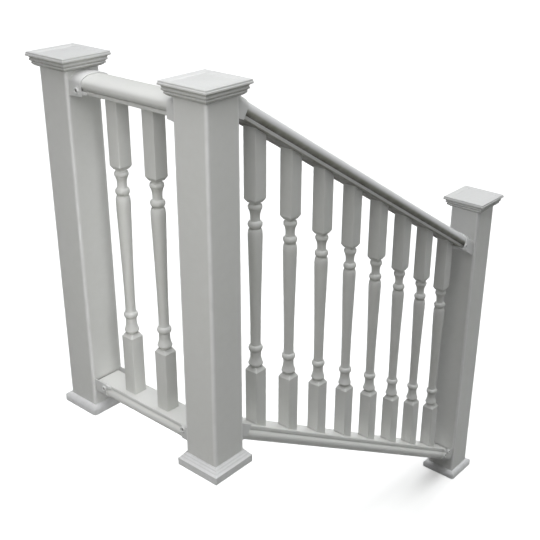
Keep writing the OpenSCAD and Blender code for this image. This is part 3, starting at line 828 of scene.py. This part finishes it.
class RAILING_OT_balusters(bpy.types.Operator):
    """Turns one baluster's middle, joins its two square blocks and copies it to every place"""

    bl_idname = "railing.balusters"
    bl_label = "Turn the balusters"

    def execute(self, context):
        shape, finish = context.scene.railing_baluster, context.scene.railing_vinyl
        low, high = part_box(LEVEL_BALUSTERS[0])
        block, tall = high.x - low.x, high.z - low.z
        shift = (tall - shape.turned) / 2
        bar = spin_outline([(r, z + shift) for r, z in turned_outline(shape)], shape.steps)
        for end, shoulder in ((0, shift), (tall, shift + shape.turned)):
            part = self.block(shape, block, end, shoulder)
            apply_modifier(bar, "BOOLEAN", operation="UNION", object=part, solver="EXACT")
            bpy.data.objects.remove(part)
        smooth_by_angle(bar, 30)
        material = vinyl_material("Baluster vinyl", finish.extruded, dust=0.06, film_and_shade=0.30, roughness=-0.03)
        dress(bar, material)
        for node in LEVEL_BALUSTERS + STAIR_BALUSTERS:
            foot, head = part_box(node)
            take(bar)
            bpy.ops.object.duplicate()
            piece = context.object
            piece.location = ((foot.x + head.x) / 2, (foot.y + head.y) / 2, (foot.z + head.z - tall) / 2)
            settle(piece, "turned_" + node, node)
        bpy.data.objects.remove(bar)
        return {"FINISHED"}

    def block(self, shape, width, end, shoulder):
        """A square block from one end to its shoulder, where four slopes run in to the turned middle."""
        clear_selection()
        bpy.ops.mesh.primitive_cube_add(size=1, location=(0, 0, (end + shoulder) / 2),
                                        scale=(width, width, abs(shoulder - end)))
        piece = bpy.context.object
        bpy.ops.object.transform_apply(location=True, rotation=False, scale=True)
        pick(piece, "EDGE", lambda a, b: abs(a.z - b.z) > width)
        bpy.ops.mesh.bevel(offset=shape.corner, segments=3, profile=0.5)
        bpy.ops.object.mode_set(mode="OBJECT")
        way = 1 if shoulder > end else -1
        pick(piece, "FACE", lambda face: face.normal.z * way > LOOKING)
        bpy.ops.mesh.extrude_region_move(TRANSFORM_OT_translate={"value": (0, 0, way * shape.slope)})
        # The slopes end a little outside the stem, so that the two join cleanly
        narrow = 2 * shape.stem / width * 1.02
        bpy.ops.transform.resize(value=(narrow, narrow, 1))
        bpy.ops.object.mode_set(mode="OBJECT")
        return piece


class RAILING_OT_brackets(bpy.types.Operator):
    """Moulds the eight rail brackets"""

    bl_idname = "railing.brackets"
    bl_label = "Mould the brackets"

    def execute(self, context):
        finish, fittings = context.scene.railing_vinyl, context.scene.railing_bracket
        moulded = vinyl_material("Bracket vinyl", finish.moulded, dust=0.08, roughness=-0.06, grain=0.5)
        for node in BRACKETS:
            piece = moulded_copy(node, "moulded_" + node, fittings.edge, sharp=40)
            dress(piece, moulded)
            settle(piece, "moulded_" + node, node)
        return {"FINISHED"}


def seat_of(node, away, above, side):
    """Place and turn of a fitting on a bracket's side wall; side is -1 for the near one, 1 for the far."""
    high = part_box(node)[1]
    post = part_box("post_" + node.split("_")[-1])
    rail = node[len("bracket_"):node.rfind("_")]
    toward = 1 if node.endswith("corner") else -1
    if rail.startswith("level"):
        y = post[1].y + away if toward > 0 else post[0].y - away
        return Vector((high.x * side, y, flat_height(rail, 0) + above)), (0, side * math.pi / 2, 0)
    x = post[1].x + away if toward > 0 else post[0].x - away
    return Vector((x, high.y * side, flat_height(rail, x) + above)), (-side * math.pi / 2, 0, 0)


class RAILING_OT_screws(bpy.types.Operator):
    """Moulds one screw cup and one screw, and copies them to the brackets' side walls"""

    bl_idname = "railing.screws"
    bl_label = "Fit the screws"

    def execute(self, context):
        finish, fittings = context.scene.railing_vinyl, context.scene.railing_bracket
        cup, screw = self.cup(fittings), self.screw(fittings)
        dress(cup, vinyl_material("Cup vinyl", finish.moulded, dust=0.05, roughness=-0.06, grain=0.5))
        # The screws' darkened metal is painted shade for the holes of the cups
        dress(screw, metal_material("Screw metal and hole shade", SCREW_METAL_AND_HOLE_SHADE, 0.40))
        for number, (node, away, above) in enumerate(SCREW_CUPS, 1):
            for side, word in ((-1, "near"), (1, "far")):
                place, turn = seat_of(node, away * MM, above * MM, side)
                for shape, kind, slot in ((cup, "cup", "vinyl_trim"), (screw, "screw", "anchor_metal")):
                    name = "%s_%d_%s" % (kind, number, word)
                    piece = copy_of(shape, name)
                    piece.location, piece.rotation_euler = place, turn
                    settle(piece, name, None)
        bpy.data.objects.remove(cup)
        bpy.data.objects.remove(screw)
        return {"FINISHED"}

    def cup(self, fittings):
        """A round cup on z = 0, hollowed from its mouth, with a rounded rim."""
        bottom, taper, rim = 0.4 * MM, 0.94, 1.2 * MM
        clear_selection()
        bpy.ops.mesh.primitive_cylinder_add(vertices=40, radius=fittings.cup, depth=fittings.stand,
                                            location=(0, 0, fittings.stand / 2))
        cup = bpy.context.object
        bpy.ops.object.transform_apply(location=True, rotation=False, scale=False)
        pick(cup, "FACE", lambda face: face.normal.z > LOOKING)
        bpy.ops.mesh.inset(thickness=fittings.cup - fittings.bore)
        bpy.ops.mesh.extrude_region_move(TRANSFORM_OT_translate={"value": (0, 0, bottom - fittings.stand)})
        bpy.ops.transform.resize(value=(taper, taper, 1))
        pick(cup, "EDGE", lambda a, b: min(a.z, b.z) > fittings.stand - LEVEL_WITHIN
             and abs(a.to_2d().length - b.to_2d().length) < 0.1 * MM)
        bpy.ops.mesh.bevel(offset=rim, segments=4, profile=0.5)
        bpy.ops.object.mode_set(mode="OBJECT")
        smooth_by_angle(cup, 50)
        return cup

    def screw(self, fittings):
        """A pan head with a cross cut in it, seated at the bottom of a cup."""
        radius, rise, seat, crossed = fittings.bore - 0.9 * MM, 1.7 * MM, 0.5 * MM, 0.3
        blade_size, shallow = (1.25 * radius, 0.8 * MM, 2.2 * MM), 0.1 * MM
        clear_selection()
        bpy.ops.mesh.primitive_cylinder_add(vertices=32, radius=radius, depth=rise, location=(0, 0, rise / 2))
        head = bpy.context.object
        bpy.ops.object.transform_apply(location=True, rotation=False, scale=False)
        pick(head, "EDGE", lambda a, b: min(a.z, b.z) > rise - LEVEL_WITHIN)
        bpy.ops.mesh.bevel(offset=0.9 * MM, segments=4, profile=0.5)
        bpy.ops.object.mode_set(mode="OBJECT")
        for turn in (crossed, crossed + math.pi / 2):
            clear_selection()
            bpy.ops.mesh.primitive_cube_add(size=1, location=(0, 0, rise + shallow), rotation=(0, 0, turn),
                                            scale=blade_size)
            blade = bpy.context.object
            apply_modifier(head, "BOOLEAN", operation="DIFFERENCE", object=blade, solver="EXACT")
            bpy.data.objects.remove(blade)
        smooth_by_angle(head, 40)
        head.location.z = seat
        take(head)
        bpy.ops.object.transform_apply(location=True, rotation=False, scale=False)
        return head


class RAILING_OT_lugs(bpy.types.Operator):
    """Moulds one lug and copies it to where a bracket grips its rail's lip"""

    bl_idname = "railing.lugs"
    bl_label = "Fit the lugs"

    def execute(self, context):
        finish, fittings = context.scene.railing_vinyl, context.scene.railing_bracket
        material = vinyl_material("Lug vinyl", finish.moulded, dust=0.05, roughness=-0.06, grain=0.5)
        set_in = 2.9 * MM  # from the bracket's widest face to the lug's outer one
        for node in LUGGED_BRACKETS:
            low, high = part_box(node)
            up = "top" in node
            flat = flat_height("level_top" if up else "level_bottom", 0)
            for side, word in ((-1, "near"), (1, "far")):
                lug = self.lug(fittings, high.x - set_in)
                lug.scale = (side, -1, 1 if up else -1)
                lug.location = (0, low.y, flat)
                dress(lug, material)
                name = "lug_%s_%s" % (node[len("bracket_"):], word)
                settle(lug, name, None)
                take(lug)
                bpy.ops.object.mode_set(mode="EDIT")
                bpy.ops.mesh.select_all(action="SELECT")
                bpy.ops.mesh.normals_make_consistent(inside=False)
                bpy.ops.object.mode_set(mode="OBJECT")
                smooth_by_angle(lug, 40)
        return {"FINISHED"}

    def lug(self, fittings, reach):
        """A block beside the lip, out to x = reach, from inside the bracket to the lug's length past it."""
        inner, tall, inside, taper = reach - 7.2 * MM, 9.0 * MM, 8 * MM, (0.55, 1, 0.8)
        clear_selection()
        bpy.ops.mesh.primitive_cube_add(
            size=1, location=((reach + inner) / 2, (fittings.lug - inside) / 2, tall / 2),
            scale=(reach - inner, fittings.lug + inside, tall))
        lug = bpy.context.object
        bpy.ops.object.transform_apply(location=True, rotation=False, scale=True)
        # The free end tapers in towards the lip
        pick(lug, "FACE", lambda face: face.normal.y > LOOKING)
        bpy.ops.transform.resize(value=taper, center_override=(inner, fittings.lug, tall / 2))
        bpy.ops.object.mode_set(mode="OBJECT")
        pick(lug, "EDGE", lambda a, b: True)
        bpy.ops.mesh.bevel(offset=LUG_EDGE, segments=3, profile=0.5)
        bpy.ops.object.mode_set(mode="OBJECT")
        return lug


class RAILING_OT_stage(bpy.types.Operator):
    """Sets the plain floor, the soft light and the camera"""

    bl_idname = "railing.stage"
    bl_label = "Set the stage"

    def execute(self, context):
        stage = context.scene.railing_stage
        clear_selection()
        bpy.ops.mesh.primitive_grid_add(x_subdivisions=8, y_subdivisions=8, size=60,
                                        location=(10, 10, foot_of("lower").z))
        floor = context.object
        floor.name = floor.data.name = "floor"
        dress(floor, self.floor_material(stage))
        self.light(context, stage)
        self.camera(context, stage)
        context.scene.view_settings.view_transform = "Standard"
        return {"FINISHED"}

    def floor_material(self, stage):
        """White to the camera and in reflections, and grey for the light that it throws back."""
        material, tree, shader = new_material("Floor")
        feed(tree, shader["Roughness"], 0.9)
        feed(tree, shader["Specular IOR Level"], 0.0)
        path = add(tree, "ShaderNodeLightPath").outputs
        seen = math_of(tree, "MAXIMUM", path["Is Camera Ray"], path["Is Glossy Ray"])
        bounce = (stage.bounce, stage.bounce, stage.bounce, 1)
        feed(tree, shader["Base Color"], blend_colour(tree, seen, bounce, (*stage.floor, 1)))
        feed(tree, shader["Emission Color"], WHITE)
        feed(tree, shader["Emission Strength"], times(tree, seen, stage.glow))
        return material

    def light(self, context, stage):
        """A soft light overhead and one beside the stair, from the sky, and three lamps."""
        world = bpy.data.worlds.new("Soft sky")
        context.scene.world = world
        world.use_nodes = True
        tree = world.node_tree
        background = tree.nodes["Background"].inputs
        place = add(tree, "ShaderNodeTexCoord").outputs["Generated"]
        height = parts_of(tree, place)["Z"]
        above = span(tree, height, OVERHEAD_FROM, OVERHEAD_TO, 0.0, stage.overhead)
        aside = add(tree, "ShaderNodeVectorMath", {0: place, 1: SIDE_LIGHT}, operation="DOT_PRODUCT")
        over_horizon = span(tree, height, -0.02, 0.02)
        beside = times(tree, span(tree, aside.outputs["Value"], 0.0, 1.0, 0.0, stage.side), over_horizon)
        # What the camera itself sees behind the floor is plain white
        seen = add(tree, "ShaderNodeLightPath").outputs["Is Camera Ray"]
        unseen = math_of(tree, "SUBTRACT", 1.0, seen)
        feed(tree, background["Strength"], plus(tree, times(tree, plus(tree, above, beside), unseen), seen))
        tint = blend_colour(tree, span(tree, height, OVERHEAD_FROM, OVERHEAD_TO), SIDE_TINT, OVERHEAD_TINT)
        feed(tree, background["Color"], blend_colour(tree, seen, tint, WHITE))
        self.lamp(context, "Key lamp", (-0.95, -0.75, 1.9), LAMP_AIM, (1.4, 1.4), stage.key)
        self.lamp(context, "Fill lamp", (-1.4, -0.2, 0.5), LAMP_AIM, (1.4, 1.4), stage.fill, colour=FILL_TINT)
        self.lamp(context, "Porch lamp", (-0.14, 0.0, 0.40), (0.0, 0.41, 0.40), (0.10, 0.90), stage.porch, 34)

    def lamp(self, context, name, place, aim, size, power, spread=180, colour=(1, 1, 1)):
        """An oval lamp that the camera doesn't see. Its spread is in degrees."""
        data = bpy.data.lights.new(name, "AREA")
        data.color = colour
        data.shape, data.energy, data.spread = "ELLIPSE", power, math.radians(spread)
        data.size, data.size_y = size
        lamp = bpy.data.objects.new(name, data)
        lamp.location = place
        lamp.rotation_euler = (Vector(aim) - lamp.location).to_track_quat("-Z", "Y").to_euler()
        lamp.visible_camera = False
        context.scene.collection.objects.link(lamp)

    def camera(self, context, stage):
        """The camera at its place, looking along its yaw and pitch and rolled about its own line of sight."""
        yaw, pitch, roll = (math.radians(angle) for angle in CAMERA_TURN)
        ahead = Vector((math.cos(pitch) * math.cos(yaw), math.cos(pitch) * math.sin(yaw), math.sin(pitch)))
        level = Vector((math.sin(yaw), -math.cos(yaw), 0))
        above = level.cross(ahead)
        right = level * math.cos(roll) + above * math.sin(roll)
        up = above * math.cos(roll) - level * math.sin(roll)
        data = bpy.data.cameras.new("Camera")
        data.sensor_width, data.lens = SENSOR_WIDTH, stage.focal
        data.clip_start, data.clip_end = 0.05, 100
        camera = bpy.data.objects.new("Camera", data)
        turn = Matrix((right, up, -ahead)).transposed().to_4x4()
        camera.matrix_world = Matrix.Translation(CAMERA_PLACE) @ turn
        context.scene.collection.objects.link(camera)
        context.scene.camera = camera


class RAILING_PT_panel(bpy.types.Panel):
    """Steps and settings of the railing"""

    bl_label = "Vinyl stair railing"
    bl_idname = "RAILING_PT_panel"
    bl_space_type = "VIEW_3D"
    bl_region_type = "UI"
    bl_category = "Railing"

    def draw(self, context):
        for operator in OPERATORS:
            self.layout.operator(operator.bl_idname)
        for name, group in SETTINGS.items():
            box = self.layout.box()
            box.label(text=group.__doc__)
            for key in group.__annotations__:
                box.prop(getattr(context.scene, name), key)


OPERATORS = (
    RAILING_OT_posts,
    RAILING_OT_caps,
    RAILING_OT_trims,
    RAILING_OT_anchors,
    RAILING_OT_rails,
    RAILING_OT_balusters,
    RAILING_OT_brackets,
    RAILING_OT_screws,
    RAILING_OT_lugs,
    RAILING_OT_stage,
)


def register():
    for group in SETTINGS.values():
        bpy.utils.register_class(group)
    for name, group in SETTINGS.items():
        setattr(bpy.types.Scene, name, bpy.props.PointerProperty(type=group))
    for operator in OPERATORS:
        bpy.utils.register_class(operator)
    bpy.utils.register_class(RAILING_PT_panel)


def unregister():
    bpy.utils.unregister_class(RAILING_PT_panel)
    for operator in reversed(OPERATORS):
        bpy.utils.unregister_class(operator)
    for name, group in SETTINGS.items():
        delattr(bpy.types.Scene, name)
        bpy.utils.unregister_class(group)


def main():
    register()
    bpy.ops.railing.posts()
    bpy.ops.railing.caps()
    bpy.ops.railing.trims()
    bpy.ops.railing.anchors()
    bpy.ops.railing.rails()
    bpy.ops.railing.balusters()
    bpy.ops.railing.brackets()
    bpy.ops.railing.screws()
    bpy.ops.railing.lugs()
    bpy.ops.railing.stage()


if __name__ == "__main__":
    main()
